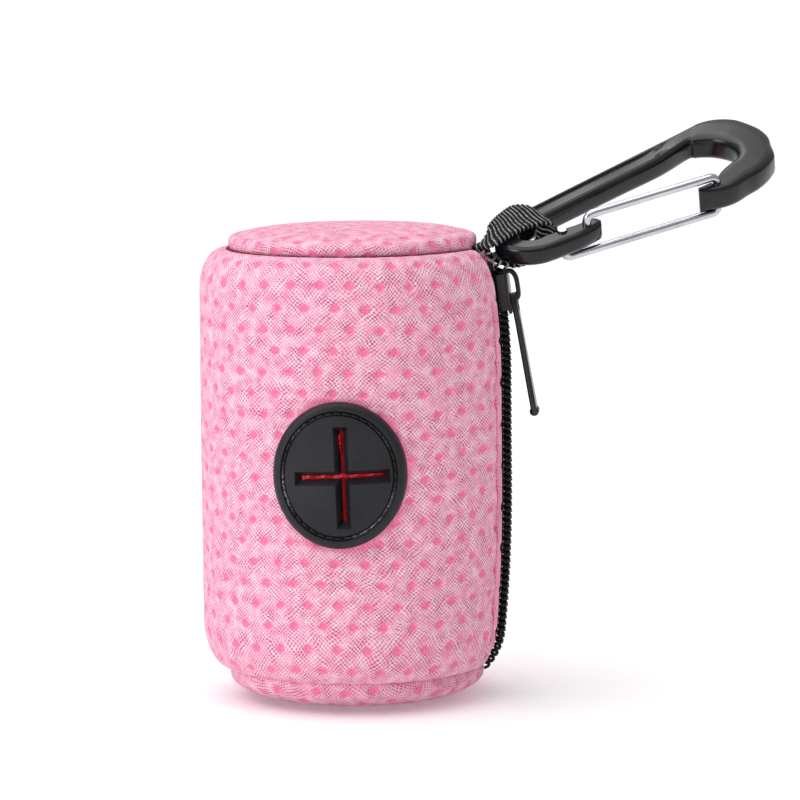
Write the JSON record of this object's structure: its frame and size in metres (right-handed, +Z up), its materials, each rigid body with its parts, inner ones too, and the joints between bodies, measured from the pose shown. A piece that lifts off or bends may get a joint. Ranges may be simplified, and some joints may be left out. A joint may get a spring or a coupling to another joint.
{
  "type": "dog poop bag dispenser",
  "caption": "Round zipped sandwich-mesh pouch with a soft rubber cross-slot port that feeds waste bags from a roll, and a wire-gate carabiner on a webbing loop.",
  "frame": {"origin": "centre of the pouch's base face, on its axis", "axes": "+Z up along the pouch's axis, -Y out through the rubber port, +X out through the zip"},
  "size_m": [0.112, 0.0786, 0.1109],
  "materials": {
    "mesh_knit": "pink polyester sandwich mesh, diamond holes over a deeper rose backing",
    "foam": "open spacer foam inside the sandwich mesh",
    "lining": "plain woven polyester lining, deep rose",
    "binding_tape": "folded binding tape over the seam allowance",
    "port_rubber": "soft moulded PVC rubber, matt black with a faint sheen",
    "black_thread": "black polyester sewing thread",
    "pink_thread": "pink polyester sewing thread",
    "zip_tape": "black woven zip tape",
    "zip_nylon": "black nylon monofilament coil",
    "slider_enamel": "die-cast zinc, black enamel",
    "webbing": "black ribbed polypropylene webbing",
    "carabiner_nylon": "glossy moulded black nylon",
    "gate_steel": "bright spring-steel wire",
    "bag_film": "thin red polythene film, wound in a roll",
    "core_card": "spiral-wound card tube"
  },
  "bodies": {
    "pouch": {"wall_mesh": "mesh_knit", "wall_foam": "foam", "wall_lining": "lining", "top_cap_mesh": "mesh_knit", "top_cap_foam": "foam", "top_cap_lining": "lining", "base_cap_mesh": "mesh_knit", "base_cap_foam": "foam", "base_cap_lining": "lining", "top_binding": "binding_tape", "base_binding": "binding_tape", "port_disc": "port_rubber", "port_stitching": "black_thread", "zip_tape_front": "zip_tape", "zip_tape_rear": "zip_tape", "zip_coil_front": "zip_nylon", "zip_coil_rear": "zip_nylon", "topstitch_front": "pink_thread", "topstitch_rear": "pink_thread", "webbing_tail": "webbing", "bag_lead": "bag_film"},
    "slider": {"slider_body": "slider_enamel", "slider_bridge": "slider_enamel"},
    "pull": {"zip_pull": "slider_enamel"},
    "loop": {"webbing_loop": "webbing"},
    "carabiner": {"carabiner_body": "carabiner_nylon", "gate_wire_tail": "gate_steel"},
    "gate": {"gate_wire": "gate_steel"},
    "roll": {"bag_roll": "bag_film", "roll_core": "core_card"}
  },
  "joints": [
    {"name": "zip_slide", "type": "slide", "parent": "pouch", "child": "slider", "axis": [0, 0, -1], "range_m": [0, 0.06], "deforming": ["zip_coil_front", "zip_coil_rear", "zip_tape_front", "zip_tape_rear"]},
    {"name": "pull_hinge", "type": "hinge", "parent": "slider", "child": "pull", "pos_m": [0.03096, 0, 0.07919], "axis": [0, -1, 0], "range_deg": [-2, 110]},
    {"name": "loop_flex", "type": "hinge", "parent": "pouch", "child": "loop", "pos_m": [0.0254, 0, 0.0883], "axis": [0, -1, 0], "range_deg": [-2, 24], "deforming": ["webbing_loop"]},
    {"name": "carabiner_swing", "type": "hinge", "parent": "loop", "child": "carabiner", "pos_m": [0.03687, 0.00392, 0.09061], "axis": [-0.0527, -0.3739, 0.926], "range_deg": [-18, 18]},
    {"name": "gate_hinge", "type": "hinge", "parent": "carabiner", "child": "gate", "pos_m": [0.04525, 0.0036, 0.09096], "axis": [-0.0527, -0.3739, 0.926], "range_deg": [0, 22], "stiffness_Nm_per_rad": 0.03, "springref_deg": -20.05},
    {"name": "roll_spin", "type": "hinge", "parent": "pouch", "child": "roll", "pos_m": [0, 0, 0.0345], "axis": [0, 0, 1], "continuous": true}
  ]
}
